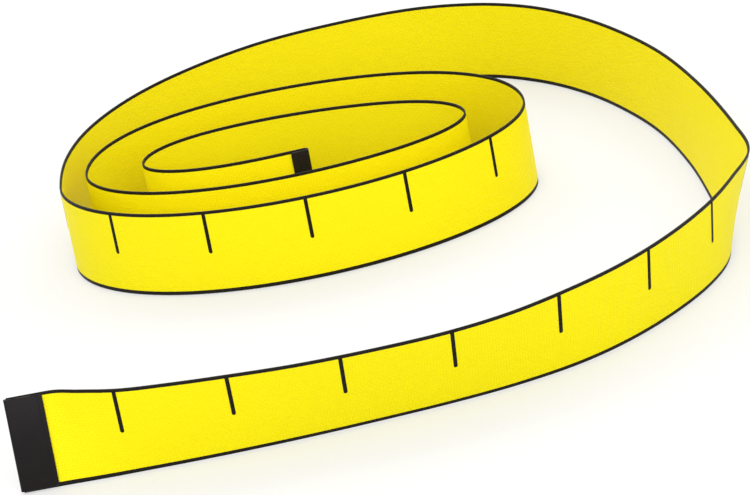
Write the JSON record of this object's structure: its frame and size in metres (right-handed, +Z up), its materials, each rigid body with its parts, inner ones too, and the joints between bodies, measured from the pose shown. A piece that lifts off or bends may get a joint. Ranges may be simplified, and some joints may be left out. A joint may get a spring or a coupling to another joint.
{
  "type": "cloth tape measure",
  "caption": "Flexible cloth sewing tape standing on edge: a loose flat coil with a long free tail swept round it, inch marks on its outer face and a folded metal tip on each end.",
  "frame": {"origin": "under the middle of the whole tape measure, on the surface that it stands on", "axes": "+Z up across the tape's width, +Y from the free end's run at the front towards the coil and the run behind it, +X to the right as seen from the front"},
  "size_m": [0.1822, 0.2058, 0.0222],
  "materials": {
    "coated_cloth": "satin",
    "tip_metal": "satin"
  },
  "bodies": {
    "coil": {"tape_coil": "coated_cloth", "inner_tip": "tip_metal"},
    "tail": {"tape_tail": "coated_cloth", "outer_tip": "tip_metal"}
  },
  "joints": [
    {"name": "tail_bend", "type": "hinge", "parent": "coil", "child": "tail", "pos_m": [-0.07708, 0.02399, 0.0111], "axis": [0, 0, 1], "range_deg": [-12, 45]}
  ]
}
